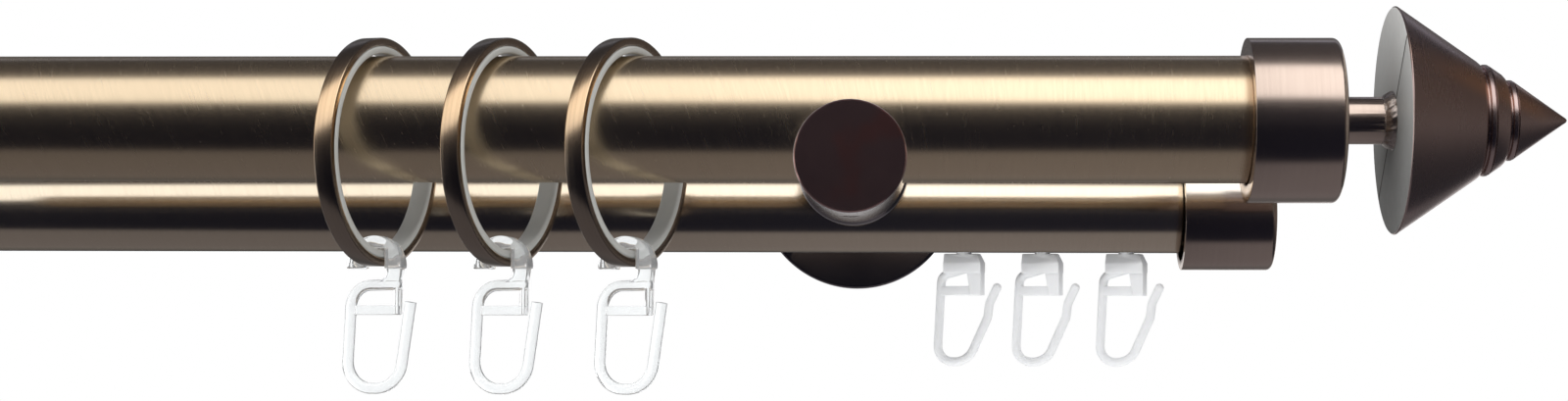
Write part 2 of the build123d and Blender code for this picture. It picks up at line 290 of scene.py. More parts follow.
# Turn a profile of (distance, radius) in millimetres about the X axis
def turnProfile(profile, steps=192, closed=False):
    shape = bmesh.new()
    verts = [shape.verts.new((a * mm, 0, r * mm)) for a, r in profile]
    pairs = list(zip(verts, verts[1:]))
    if closed:
        pairs.append((verts[-1], verts[0]))
    edges = [shape.edges.new(pair) for pair in pairs]
    bmesh.ops.spin(shape, geom=verts + edges, axis=(1, 0, 0), cent=(0, 0, 0), dvec=(0, 0, 0),
                   angle=2 * math.pi, steps=steps, use_merge=True)
    bmesh.ops.remove_doubles(shape, verts=shape.verts, dist=0.000002)
    bmesh.ops.recalc_face_normals(shape, faces=shape.faces)
    return shape


# The middle of a node's box across X, at its left end
def leftCentre(node):
    low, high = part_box(node)
    return Vector((low.x, (low.y + high.y) / 2, (low.z + high.z) / 2))


def lengthOf(node):
    low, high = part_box(node)
    return (high.x - low.x) / mm


def radiusOf(node):
    low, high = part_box(node)
    return (high.y - low.y) / 2 / mm


def turnedPiece(node, profile, material, closed=False, edge=0.15, steps=192):
    shape = turnProfile(profile, steps, closed)
    if edge:
        softenEdges(shape, edge)
    bmesh.ops.translate(shape, vec=leftCentre(node), verts=shape.verts)
    name = node + "_turned"
    return addPiece(name, meshOf(name, shape), material, node)


# A node's own shape with its loose triangles joined and its round faces shaded smooth
def joinedCopy(node, material, smoothAngle=28):
    shape = bmesh.new()
    shape.from_mesh(frame["nodes"][node].data)
    bmesh.ops.remove_doubles(shape, verts=shape.verts, dist=0.000004)
    name = node + "_finished"
    mesh = meshOf(name, shape)
    for attribute in [item for item in mesh.attributes if item.name == "custom_normal"]:
        mesh.attributes.remove(attribute)  # the loose triangles' own normals
    return addPiece(name, mesh, material, node, smoothAngle)


# Front pole: a plain tube
frontPole = {"wall": 1.0, "edge": 0.15}
outer = radiusOf("front_pole")
inner = outer - frontPole["wall"]
end = lengthOf("front_pole")
turnedPiece("front_pole", [(0, inner), (0, outer), (end, outer), (end, inner)], frontBrass, True,
            frontPole["edge"], 256)

# Back pole: a drawn track, round outside and above, with a flat floor and a slot
track = {"wall": 1.2, "floorDepth": 6.2, "slotWidth": 4.6, "edge": 0.12}
low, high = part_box("back_pole")
outer = radiusOf("back_pole")
inner = outer - track["wall"]
half = track["slotWidth"] / 2


def arcPoints(radius, start, stop, count):
    turns = [start + (stop - start) * part / count for part in range(count + 1)]
    return [(radius * math.cos(turn), radius * math.sin(turn)) for turn in turns]


lip = math.asin(half / outer)
seat = math.asin(track["floorDepth"] / inner)
section = arcPoints(outer, -math.pi / 2 + lip, 1.5 * math.pi - lip, 200) + [(-half, -track["floorDepth"])]
section += arcPoints(inner, math.pi + seat, -seat, 160) + [(half, -track["floorDepth"])]
shape = bmesh.new()
verts = [shape.verts.new((low.x, (low.y + high.y) / 2 + a * mm, high.z - outer * mm + z * mm))
         for a, z in section]
grown = bmesh.ops.extrude_face_region(shape, geom=[shape.faces.new(verts)])["geom"]
bmesh.ops.translate(shape, vec=(high.x - low.x, 0, 0), verts=vertsAmong(grown))
bmesh.ops.recalc_face_normals(shape, faces=shape.faces)
softenEdges(shape, track["edge"], 2)
addPiece("back_pole_drawn", meshOf("back_pole_drawn", shape), backBrassPaintedHighlight, "back_pole")
print("poles made")

# Finial collar: a cup with a rounded corner, bored for the pole
collar = {"bore": 14.25, "boreDepth": 15.2, "corner": 1.4, "thread": 3.02, "edge": 0.12}
outer = radiusOf("finial_collar")
end = lengthOf("finial_collar")


def cornerArc(x, radius, size, count=8):
    turn = [math.pi / 2 * step / count for step in range(count + 1)]
    return [(x - size + size * math.sin(angle), radius - size + size * math.cos(angle)) for angle in turn]


bronzeAcrossX = turnedMetal("turnedBronze", bronzeLook, "x", leftCentre("finial_collar"))
turnedPiece("finial_collar", [(0, collar["bore"]), (0, outer)] + cornerArc(end, outer, collar["corner"])
            + [(end, collar["thread"]), (collar["boreDepth"], collar["thread"]),
               (collar["boreDepth"], collar["bore"])], bronzeAcrossX, True, collar["edge"])

# End cap of the back pole, made like the collar
cap = {"bore": 11.0, "boreDepth": 14.8, "corner": 1.3, "edge": 0.12}
outer = radiusOf("back_end_cap")
end = lengthOf("back_end_cap")


# The same bronze, painted lighter on top as a painted highlight
def capFinish():
    finish, colour, roughness, normal, (_, _, z), _ = turnedFinish(
        "turnedBronzeCap", bronzeLook, "x", leftCentre("back_end_cap"))
    # Painted highlight: the top of the cap is blended towards a pale cream
    paintedHighlightTop = finish.blend(z.step(0.001, 0.0045) * 0.85, colour, shade(0.98, 0.90, 0.78))
    return finish.surface(Base_Color=paintedHighlightTop, Metallic=1.0, Roughness=roughness, Normal=normal)


turnedPiece("back_end_cap", [(0, cap["bore"]), (0, outer)] + cornerArc(end, outer, cap["corner"])
            + [(end, 0), (cap["boreDepth"], 0), (cap["boreDepth"], cap["bore"])], capFinish(), False,
            cap["edge"])

# Finial stem: a pin with its threaded ends and a rough weld bead at the cone
stem = {"collarThread": 4.2, "coneThread": 10.0, "threadRadius": 3.0, "radius": 5.2, "beadLength": 2.2,
        "beadHeight": 1.3, "beadRipple": 0.22}
shoulder = stem["collarThread"]
base = lengthOf("finial_stem") - stem["coneThread"]
beadStart = base - stem["beadLength"]
beadPoints = [(beadStart + stem["beadLength"] * part / 10,
               stem["radius"] + stem["beadHeight"] * math.sin(math.pi / 2 * part / 10) ** 0.8)
              for part in range(1, 11)]
stemProfile = [(0, 0), (0, stem["threadRadius"]), (shoulder, stem["threadRadius"]),
               (shoulder, stem["radius"]), (beadStart, stem["radius"])] + beadPoints
stemProfile += [(base, stem["threadRadius"]), (lengthOf("finial_stem"), stem["threadRadius"]),
                (lengthOf("finial_stem"), 0)]
shape = turnProfile(stemProfile, 160)
for vert in shape.verts:
    x = vert.co.x / mm
    if beadStart + 0.1 < x < base - 0.05:
        turn = math.atan2(vert.co.z, vert.co.y)
        lump = math.sin(turn * 9) + 0.6 * math.sin(turn * 17 + 1.3 + x) + 0.4 * math.sin(turn * 31 + 4 * x)
        scale = 1 + stem["beadRipple"] * mm * (lump - 1.2) / 2 / math.hypot(vert.co.y, vert.co.z)
        vert.co.y *= scale
        vert.co.z *= scale
bmesh.ops.translate(shape, vec=leftCentre("finial_stem"), verts=shape.verts)


# Bright bare weld over the turned bronze pin
def stemFinish():
    finish, colour, roughness, normal, (x, _, _), _ = turnedFinish(
        "weldedStem", bronzeLook, "x", leftCentre("finial_stem"))
    grit = finish.noise(finish.place(), 1400.0, 4.0, 0.7)
    bead = (x + (grit - 0.5) * 0.0012).step((beadStart - 0.4) * mm, (beadStart + 0.2) * mm)
    bright = finish.blend(grit.step(0.40, 0.62), shade(0.58, 0.50, 0.44), shade(0.36, 0.30, 0.27))
    return finish.surface(Base_Color=finish.blend(bead, colour, bright), Metallic=1.0,
                          Roughness=roughness + bead * 0.08,
                          Normal=finish.bump(grit * bead, 0.00014, 1.0, normal))


addPiece("finial_stem_welded", meshOf("finial_stem_welded", shape), stemFinish(), "finial_stem", 50)

# Finial cone: three steps, each set off from the next by a groove with a narrow round band in it
cone = {"rim": 0.35, "grooveFloor": (11.1, 8.0), "grooveStart": (18.7, 24.1), "bandStart": (19.2, 24.6),
        "bandRadius": (12.2, 8.8), "bandWidth": 1.1, "bandCorner": (0.14, 0.16), "bandCrown": 0.03,
        "bandGap": 0.2, "nextRadius": (12.0, 8.6), "stepEnd": ((17.6, 13.1), (23.2, 10.15)),
        "shoulder": ((18.3, 12.5), (23.8, 9.5)), "lip": ((18.7, 11.6), (24.1, 8.9)), "tipRadius": 0.6,
        "hole": 3.02, "holeDepth": 10.5, "edge": 0.08, "steps": 224}
length = lengthOf("finial_cone")
outer = radiusOf("finial_cone")
tip = cone["tipRadius"]
profile = [(cone["holeDepth"], 0), (cone["holeDepth"], cone["hole"]), (0, cone["hole"]),
           (0, outer - cone["rim"]), (cone["rim"], outer)]
cornerX, cornerDepth = cone["bandCorner"]
for step in range(2):
    floor, band = cone["grooveFloor"][step], cone["bandRadius"][step]
    start = cone["bandStart"][step]
    stop = start + cone["bandWidth"]
    narrowBand = [(start, floor), (start, band - cornerDepth), (start + cornerX, band),
                  ((start + stop) / 2, band + cone["bandCrown"]),
                  (stop - cornerX, band), (stop, band - cornerDepth)]
    gapFloor = floor + (0.2 if step == 0 else 0)
    nextStart = stop + cone["bandGap"]
    profile += [cone["stepEnd"][step], cone["shoulder"][step], cone["lip"][step],
                (cone["grooveStart"][step], floor)] + narrowBand
    profile += [(stop, gapFloor), (nextStart, gapFloor), (nextStart, cone["nextRadius"][step])]
profile += [(length - tip * 0.45, tip * 0.8), (length - tip * 0.12, tip * 0.4), (length, 0)]


# Satin ground base with one fine scribed line across it, painted pale at its top and dark at its foot as painted
# light and shade, dark turned bronze with a painted orange sheen above the middle of the steps, which leaves the
# narrow bands out
def coneFinish():
    look = dict(bronzeLook, light=shade(0.64, 0.49, 0.45), dark=shade(0.45, 0.33, 0.30), roughness=0.27,
                lineDepth=0.000002)
    finish, colour, roughness, normal, (x, y, z), radius = turnedFinish(
        "turnedBronzeCone", look, "x", leftCentre("finial_cone"), 0.45)
    # Painted sheen: an orange colour blended onto the steps above their middle
    sheen = 1 - (z - radius * 0.55).size().step(0.0005, 0.0045)
    for start in cone["bandStart"]:
        sheen = sheen * (x - (start + cone["bandWidth"] / 2) * mm).size().step(0.0007, 0.0009)
    amount = (0.25 + x.step(0.004, 0.018) * 0.45) * (1 - x.step(0.027, 0.035))
    colour = finish.blend(sheen * amount, colour, shade(0.92, 0.54, 0.34))
    baseFace = 1 - x.step(0.00002, 0.00012)
    slant = y * 0.67 + z * 0.74
    scribe = (1 - slant.size().step(0.0003, 0.0005)) * baseFace
    # Painted light and shade: the base face is painted pale towards its top and dark towards its bottom
    height = (z * 0.8 - y * 0.2).step(-0.022, 0.026)
    pale = finish.blend(height * height, shade(0.12, 0.12, 0.115), shade(0.74, 0.74, 0.72))
    clouds = finish.noise(finish.place(), 500.0, 3.0)
    cloudy = finish.blend(clouds * 0.4, pale, shade(0.30, 0.30, 0.29))
    halves = finish.blend((1 - slant.step(-0.0002, 0.0002)) * 0.25, cloudy, shade(0.16, 0.16, 0.16))
    ground = finish.blend(scribe, halves, shade(0.05, 0.045, 0.04))
    satin = baseFace * (0.42 - z.step(-0.02, 0.024) * 0.34)
    return finish.surface(Base_Color=finish.blend(baseFace, colour, ground), Metallic=1 - baseFace * 0.9,
                          Roughness=roughness + satin + scribe * 0.3, Normal=normal)


turnedPiece("finial_cone", profile, coneFinish(), False, cone["edge"], cone["steps"])
print("finial made")


# Bracket: wall plate and the two arms, turned about Y. The front is reddish or dull, what lies outside the silver
# radius is painted silver-white by the reflection share as a painted reflection, with painted shade before seamY
# and a painted highlight on the edge at edgeY.
def bracketFinish(name, reddish, dull, paintedReflectionShare, silverRadius, edgeY, paintedHighlightRadius, seamY):
    look = dict(bronzeLook, light=shade(0.66, 0.42, 0.39), dark=shade(0.46, 0.28, 0.25), lineDepth=0.000004)
    finish, colour, roughness, normal, (x, y, z), radius = turnedFinish(name, look, "y", (0, 0, 0), 0.35)
    blotch = finish.noise(finish.place(), 110.0, 2.0, 0.5).step(0.50, 0.68) * reddish
    warm = finish.blend(blotch, colour, shade(0.70, 0.27, 0.22))
    # Painted reflection: outside the silver radius the side is painted silver-white with ring lines, by the
    # reflection share
    side = radius.step(silverRadius, silverRadius + 0.0001) * paintedReflectionShare
    rings = finish.noise(finish.join(y * 1800, x * 30, z * 30), 1.0, 2.0)
    plain = finish.blend(rings, shade(0.96, 0.96, 0.96), shade(0.66, 0.66, 0.67))
    # Painted shade: a narrow near-black strip on the side just before seamY, where the joint groove lies in shade
    plain = finish.blend((y - seamY).step(-0.0007, -0.0004), plain, shade(0.03, 0.03, 0.03))
    # Painted highlight: the chamfer at edgeY is painted pale and made rougher, standing for the line of light on
    # the edge
    edge = 1 - (y - edgeY).size().step(0.0003, 0.0007)
    paintedEdgeHighlight = radius.step(paintedHighlightRadius, paintedHighlightRadius + 0.0001) * edge * (1 - (1 - paintedReflectionShare) * 0.3)
    base = finish.blend(side, finish.blend(dull, warm, shade(0.27, 0.26, 0.265)), plain)
    return finish.surface(Base_Color=finish.blend(paintedEdgeHighlight, base, shade(0.95, 0.92, 0.90)), Metallic=1.0,
                          Roughness=roughness + paintedEdgeHighlight * 0.25, Normal=normal)


bracketLook = {
    "wall_plate": {"reddish": 0.0, "dull": 0.9, "paintedReflectionShare": 0.0, "silverRadius": 0.02, "edgeY": 0.0,
                   "paintedHighlightRadius": 0.02, "seamY": 1.0},
    "rear_arm": {"reddish": 0.1, "dull": 0.9, "paintedReflectionShare": 0.35, "silverRadius": 0.01262, "edgeY": -0.0876,
                 "paintedHighlightRadius": 0.01262, "seamY": 1.0},
    "front_arm": {"reddish": 0.6, "dull": 0.0, "paintedReflectionShare": 0.9, "silverRadius": 0.0121, "edgeY": -0.1390,
                  "paintedHighlightRadius": 0.0121, "seamY": -0.0876}}
for node, values in bracketLook.items():
    joinedCopy(node, bracketFinish("turnedBronze_" + node, **values))
for node in ("arm_screw", "arm_stud", "front_pole_grub_screw", "back_pole_grub_screw",
             "collar_grub_screw", "cap_grub_screw"):
    joinedCopy(node, zinc)
for node in ("front_end_plug", "back_end_plug"):
    joinedCopy(node, darkPlastic)
print("bracket made")

# Rings: a flat metal band and its pale lining, turned about the ring's own axis
ring = {"metal": 1.8, "liner": 1.8, "width": 4.3, "outerEdge": 0.35, "linerRound": 0.5, "radius": 25.3}


def ringPlace(number):
    hinge = joints[f"hook_{number}_swing"]
    axis = Vector(hinge["axis"])
    yaw = math.atan2(axis.y, axis.x)
    return Matrix.Translation(Vector(hinge["pos_m"])) @ Matrix.Rotation(yaw, 4, "Z"), yaw


def bandProfile(innerRadius, outerRadius):
    half = ring["width"] / 2
    return [(-half, innerRadius), (-half, outerRadius), (half, outerRadius), (half, innerRadius)]


# Lines run round the band, whichever way the ring is turned
def ringFinish(number, yaw, centre):
    look = ringLook
    finish = Finish(f"ringBronze{number}")
    turned = finish.add("ShaderNodeMapping", {"vector_type": "TEXTURE"},
                        {"Vector": finish.place(), "Location": centre, "Rotation": (0, 0, yaw)})
    x, y, z = finish.split(turned)
    radius = (y * y + z * z).root()
    profile = x + radius
    lines = finish.noise(finish.join(profile * look["linesPerMetre"], y * 45, z * 45), 1.0, 4.0, 0.6)
    streaks = finish.noise(finish.join(profile * 900, y * 22, z * 22), 1.0, 2.0, 0.5).step(0.4, 0.75)
    patches = finish.noise(turned, 90.0, 3.0)
    colour = finish.blend(lines * 0.3 + streaks * 0.35 + patches * 0.2, look["light"], look["dark"])
    # Painted shade: the band is blended darker below its middle and again along its top
    paintedShadeLowAndTop = 1 - z.step(-0.007, 0.010) + z.step(0.012, 0.022)
    colour = finish.blend(paintedShadeLowAndTop * 0.8, colour, shade(0.32, 0.28, 0.245))
    return finish.surface(Base_Color=colour, Metallic=1.0,
                          Roughness=look["roughness"] + (lines - 0.5) * 0.12,
                          Normal=finish.bump(lines + streaks, look["lineDepth"]))


# Clear hook and milky glider share these building steps, all in millimetres in the XZ plane
def plate(outline, depth, edge=0.0):
    shape = bmesh.new()
    verts = [shape.verts.new((a * mm, -depth / 2 * mm, z * mm)) for a, z in outline]
    face = shape.faces.new(verts)
    grown = bmesh.ops.extrude_face_region(shape, geom=[face])["geom"]
    bmesh.ops.translate(shape, vec=(0, depth * mm, 0), verts=vertsAmong(grown))
    bmesh.ops.recalc_face_normals(shape, faces=shape.faces)
    if edge:
        softenEdges(shape, edge, 3, 20)
    return shape


def drum(radius, bottom, top, edge=0.0, steps=48):
    shape = bmesh.new()
    place = Matrix.Translation((0, 0, (bottom + top) / 2 * mm))
    bmesh.ops.create_cone(shape, cap_ends=True, segments=steps, radius1=radius * mm, radius2=radius * mm,
                          depth=(top - bottom) * mm, matrix=place)
    if edge:
        softenEdges(shape, edge)
    return shape


# A route of straight runs joined by arcs, as (a, z) points with the heading at each
def roundedRoute(corners, radii, arcStep=0.5):
    points = [Vector(corner) for corner in corners]
    route = [points[0]]
    for before, corner, after, radius in zip(points, points[1:], points[2:], radii):
        come = (corner - before).normalized()
        leave = (after - corner).normalized()
        turn = come.angle_signed(leave)
        reach = radius * math.tan(abs(turn) / 2)
        start = corner - come * reach
        side = Vector((-come.y, come.x)) * (-1 if turn > 0 else 1)
        centre = start + side * radius
        count = max(3, math.ceil(abs(turn) * radius / arcStep))
        for part in range(count + 1):
            spoke = (start - centre).copy()
            spoke.rotate(Matrix.Rotation(-turn * part / count, 2))
            route.append(centre + spoke)
    route.append(points[-1])
    return route


# Extrude one section face along the route, turning it at each step.
# A bend of 1 gives an elliptical section, and less gives one nearer to a rectangle.
def bar(route, thickness, depth, bend=1.0):
    shape = bmesh.new()
    made = bmesh.ops.create_circle(shape, cap_ends=True, segments=20, radius=1.0)["verts"]
    for vert in made:
        vert.co.x = math.copysign(abs(vert.co.x) ** bend, vert.co.x) * depth / 2 * mm
        vert.co.y = math.copysign(abs(vert.co.y) ** bend, vert.co.y) * thickness / 2 * mm
    face = made[0].link_faces[0]

    def sectionPlace(point, direction):
        forward = Vector((direction.x, 0, direction.y))
        side = Vector((0, 1, 0))
        up = forward.cross(side)
        turn = Matrix((side, up, forward)).transposed().to_4x4()
        return Matrix.Translation((point.x * mm, 0, point.y * mm)) @ turn

    place = sectionPlace(route[0], (route[1] - route[0]).normalized())
    bmesh.ops.transform(shape, matrix=place, verts=made)
    for index in range(1, len(route)):
        nextHeading = route[min(index + 1, len(route) - 1)] - route[index - 1]
        nextPlace = sectionPlace(route[index], nextHeading.normalized())
        grown = bmesh.ops.extrude_face_region(shape, geom=[face])["geom"]
        newFace = [item for item in grown if isinstance(item, bmesh.types.BMFace)][0]
        bmesh.ops.transform(shape, matrix=nextPlace @ place.inverted(), verts=vertsAmong(grown))
        if index > 1:
            bmesh.ops.delete(shape, geom=[face], context="FACES_ONLY")
        face = newFace
        place = nextPlace
    return shape


# Fuse overlapping closed shapes into one moulded skin
def mouldTogether(name, shapes):
    solids = []
    for index, shape in enumerate(shapes):
        bmesh.ops.recalc_face_normals(shape, faces=shape.faces)
        solid = bpy.data.objects.new(f"{name}Part{index}", meshOf(f"{name}Part{index}", shape))
        scene.collection.objects.link(solid)
        solids.append(solid)
    for solid in solids[1:]:
        union = solids[0].modifiers.new("union", "BOOLEAN")
        union.operation = "UNION"
        union.solver = "EXACT"
        union.object = solid
    view = bpy.context.evaluated_depsgraph_get()
    mesh = bpy.data.meshes.new_from_object(solids[0].evaluated_get(view))
    mesh.name = name
    for solid in solids:
        bpy.data.objects.remove(solid)
    return mesh


# Hook: an arch over the ring's band, a flat stem and bar below it, and the open loop
hook = {"bandBottom": -25.3, "archCentre": 0.1, "gap": 0.45, "outer": 6.7, "archDepth": 3.2, "depth": 2.4,
        "rod": 2.4, "bend": 0.7, "edge": 0.3, "barDepth": 1.68, "barEdge": 0.2, "smoothAngle": 40}
hookStem = [(2.7, -24.9), (6.6, -24.9), (6.1, -28.0), (5.9, -36.0), (4.6, -36.0), (4.6, -28.6),
            (0.6, -28.9), (2.3, -27.8), (2.9, -26.6)]
hookBar = [(-6.2, -33.9), (5.9, -33.9), (5.9, -36.0), (-6.2, -36.0)]
hookLoop = [(5.4, -29.3), (-6.0, -29.6), (-7.2, -52.2), (5.6, -52.2), (8.5, -33.2)]


def hookMesh():
    centre = hook["bandBottom"] + hook["archCentre"]
    bandTop = hook["bandBottom"] + ring["metal"] + ring["liner"] + hook["gap"]
    half = ring["width"] / 2 + hook["gap"]
    arch = [(a, centre + z)
            for a, z in arcPoints(hook["outer"], math.radians(-5), math.radians(185), 38)]
    arch += [(-half, centre - 0.6), (-half, bandTop), (half, bandTop), (half, centre - 0.6)]
    loop = bar(roundedRoute(hookLoop, [5.0, 5.8, 6.4]), hook["rod"], hook["depth"], hook["bend"])
    return mouldTogether("hookShape", [plate(arch, hook["archDepth"], hook["edge"]),
                                       plate(hookStem, hook["depth"], hook["edge"]),
                                       plate(hookBar, hook["barDepth"], hook["barEdge"]), loop])


hookShape = hookMesh()
for number in (1, 2, 3):
    place, yaw = ringPlace(number)
    band = turnProfile(bandProfile(ring["radius"] - ring["metal"], ring["radius"]), 256, True)
    softenEdges(band, ring["outerEdge"])
    bmesh.ops.transform(band, matrix=place, verts=band.verts)
    material = ringFinish(number, yaw, place.translation)
    addPiece(f"ring_{number}_band", meshOf(f"ring_{number}_band", band), material, f"curtain_ring_{number}")
    liner = turnProfile(bandProfile(ring["radius"] - ring["metal"] - ring["liner"],
                                    ring["radius"] - ring["metal"]), 256, True)
    softenEdges(liner, ring["linerRound"])
    bmesh.ops.transform(liner, matrix=place, verts=liner.verts)
    addPiece(f"ring_{number}_lining", meshOf(f"ring_{number}_lining", liner), linerPlastic,
             f"ring_liner_{number}")
    mesh = hookShape.copy()
    mesh.transform(place)
    mesh.name = f"hook_{number}_moulded"
    piece = addPiece(mesh.name, mesh, clearPlastic, f"ring_hook_{number}", hook["smoothAngle"])
    piece.visible_glossy = False  # the photo's poles don't mirror the hooks and gliders
print("rings and hooks made")

# Gliders: head in the track, neck, block with sloped shoulders, stem, bar and a round J
glider = {"x": (26.1, 44.6, 64.4), "yaw": (16.3, 17.9, 19.6), "y": -70.0, "trackFloor": -15.0,
          "headGap": 0.3, "headRadius": 4.8, "headHeight": 1.8, "headEdge": 0.4, "neck": 1.8,
          "blockTop": -18.85, "blockHeight": 4.6, "blockWidth": 9.1, "blockDepth": 5.0, "crease": 2.4,
          "lean": 0.9, "slope": 0.9, "rod": 2.1, "edge": 0.25, "smoothAngle": 40}
gliderLoop = [(1.0, -22.2), (-5.5, -24.1), (-6.6, -44.4), (0.9, -44.4), (5.8, -33.8), (6.2, -30.6),
              (8.0, -26.9)]


def gliderMesh():
    top = glider["blockTop"]
    bottom = top - glider["blockHeight"]
    right = glider["blockWidth"] / 2
    head = glider["trackFloor"] + glider["headGap"]
    deep = glider["blockDepth"] / 2
    crease = bottom + glider["crease"]
    block = plate([(-deep, bottom), (deep, bottom), (deep, crease), (deep - glider["lean"], top),
                   (glider["lean"] - deep, top), (-deep, crease)], glider["blockWidth"], glider["edge"])
    bmesh.ops.rotate(block, verts=block.verts, cent=(0, 0, 0),
                     matrix=Matrix.Rotation(math.pi / 2, 3, "Z"))
    for vert in block.verts:
        if vert.co.x > 0 and vert.co.z > crease * mm:
            vert.co.x -= glider["slope"] * (vert.co.z - crease * mm) / (top - crease)
    stemPlate = plate([(1.0, bottom + 0.5), (right, bottom + 0.5), (right, -28.7), (2.0, -28.7)],
                      glider["blockDepth"] * 0.8, glider["edge"])
    crossBar = plate([(-5.8, -26.5), (right, -26.5), (right, -28.7), (-5.8, -28.7)], glider["rod"],
                     glider["edge"])
    route = roundedRoute(gliderLoop, [2.2, 3.6, 5.0, 3.0, 3.0])
    tip = bmesh.new()
    bmesh.ops.create_uvsphere(tip, u_segments=24, v_segments=12, radius=glider["rod"] / 2 * mm,
                              matrix=Matrix.Translation((route[-1].x * mm, 0, route[-1].y * mm)))
    return mouldTogether("gliderShape", [
        block, drum(glider["headRadius"], head, head + glider["headHeight"], glider["headEdge"]),
        drum(glider["neck"], top - 0.5, head + 0.5), stemPlate, crossBar,
        bar(route, glider["rod"], glider["rod"]), tip])


gliderShape = gliderMesh()
for number, (x, yaw) in enumerate(zip(glider["x"], glider["yaw"]), start=1):
    mesh = gliderShape.copy()
    place = Matrix.Translation((x * mm, glider["y"] * mm, 0)) @ Matrix.Rotation(math.radians(-yaw), 4, "Z")
    mesh.transform(place)
    mesh.name = f"glider_{number}_moulded"
    piece = addPiece(mesh.name, mesh, milkyPlastic, f"track_glider_{number}", glider["smoothAngle"])
    piece.visible_glossy = False
print("gliders made")

# Camera: below the poles, looking slightly up and to the left
camera = {"x": 8.8, "y": -740.7, "z": -38.9, "left": 2.177, "up": 2.785, "roll": 0.181, "lens": 64.83}
cameraData = bpy.data.cameras.new("camera")
cameraData.lens = camera["lens"]
cameraData.sensor_width = 36.0
cameraData.clip_start = 0.02
cameraObject = bpy.data.objects.new("camera", cameraData)
cameraObject.location = Vector((camera["x"], camera["y"], camera["z"])) * mm
left, up = math.radians(camera["left"]), math.radians(camera["up"])
aim = Vector((-math.sin(left) * math.cos(up), math.cos(left) * math.cos(up), math.sin(up)))
roll = Quaternion((0, 0, 1), math.radians(camera["roll"]))
cameraObject.rotation_mode = "QUATERNION"
cameraObject.rotation_quaternion = aim.to_track_quat("-Z", "Y") @ roll
scene.collection.objects.link(cameraObject)
scene.camera = cameraObject

# Studio: pale floor, white surroundings, soft lamps, and a long shell of cards that shows only in
# gloss and through clear plastic
studio = {"floorY": -0.1, "floorZ": -0.26, "floorSize": 5.0, "floorShade": 0.86, "skyStrength": 0.75,
          "shellRadius": 1.2, "shellHalfLength": 3.0, "shellY": -0.12, "endCardX": 0.95,
          "endCardHalf": 1.25}
# Card colours by angle above the front horizon, going over the top to the back
shellStops = [(-180, 0.15, 0.15, 0.16), (-168, 0.15, 0.15, 0.16), (-150, 0.16, 0.155, 0.165),
              (-120, 0.14, 0.134, 0.148), (-67, 0.13, 0.125, 0.137), (-60, 0.010, 0.0105, 0.018),
              (-15, 0.009, 0.0095, 0.016), (12, 0.026, 0.026, 0.032), (25, 0.09, 0.088, 0.092),
              (30, 1.21, 1.22, 1.25), (75, 1.26, 1.27, 1.30), (81, 0.12, 0.116, 0.124),
              (100, 0.06, 0.058, 0.064), (136, 0.05, 0.05, 0.056), (144, 0.80, 0.87, 1.10),
              (156, 0.42, 0.46, 0.58), (166, 0.15, 0.16, 0.19), (180, 0.12, 0.12, 0.13)]
# End card colours by height in metres
endCardStops = [(-0.75, 0.032, 0.034, 0.042), (-0.45, 0.045, 0.044, 0.050), (-0.08, 0.135, 0.123, 0.121),
                (0.25, 0.105, 0.088, 0.080), (0.50, 0.088, 0.068, 0.058), (0.85, 0.040, 0.042, 0.052)]


def addStage(name, shape, material, onlyGloss):
    piece = bpy.data.objects.new(name, meshOf(name, shape))
    piece.data.materials.append(material)
    scene.collection.objects.link(piece)
    if onlyGloss:
        piece.visible_camera = False
        piece.visible_diffuse = False
        piece.visible_transmission = False
        piece.visible_volume_scatter = False
        piece.visible_shadow = False
    return piece


# The shell's rear shows its bright stops only to metal that is itself mirrored, so that outlines stay
# dark and the front pole's back still lights the back pole. To other gloss it is a faint glow low down,
# and through clear plastic it is white like the surroundings.
def shellFinish():
    finish = Finish("shellCards")
    x, y, z = finish.split(finish.place())
    angle = finish.add("ShaderNodeMath", {"operation": "ARCTAN2"}, {0: z, 1: y * -1})
    position = angle / (2 * math.pi) + 0.5
    stops = [((degrees + 180) / 360, shade(*colour)) for degrees, *colour in shellStops]
    ramp = finish.add("ShaderNodeValToRGB", {"stops": stops}, {"Fac": position})
    rear = angle.size().step(math.radians(136), math.radians(146))
    again = finish.add("ShaderNodeLightPath", output="Ray Depth").step(1.2, 1.8)
    through = finish.add("ShaderNodeLightPath", output="Transmission Depth").step(0.2, 0.8)
    low = (angle * -1).step(math.radians(158), math.radians(176))
    edgeGlow = finish.blend(low, shade(0.10, 0.10, 0.105), shade(0.80, 0.80, 0.81))
    colour = finish.blend(rear * (1 - again), ramp, edgeGlow)
    colour = finish.blend(rear * through, colour, shade(1.0, 1.0, 1.0))
    strength = 1 + 0.35 * x.step(-0.4, 0.35)
    glow = finish.add("ShaderNodeEmission", inputs={"Color": colour, "Strength": strength})
    finish.add("ShaderNodeOutputMaterial", inputs={"Surface": glow})
    return finish.material


# The card past the finial goes from cold and dark at its foot to a warm band above the middle
def endCardFinish():
    finish = Finish("endCard")
    half = studio["endCardHalf"]
    z = finish.split(finish.place())[2]
    stops = [((height + half) / (2 * half), shade(*colour)) for height, *colour in endCardStops]
    ramp = finish.add("ShaderNodeValToRGB", {"stops": stops}, {"Fac": (z + half) / (2 * half)})
    glow = finish.add("ShaderNodeEmission", inputs={"Color": ramp, "Strength": 1.0})
    finish.add("ShaderNodeOutputMaterial", inputs={"Surface": glow})
    return finish.material


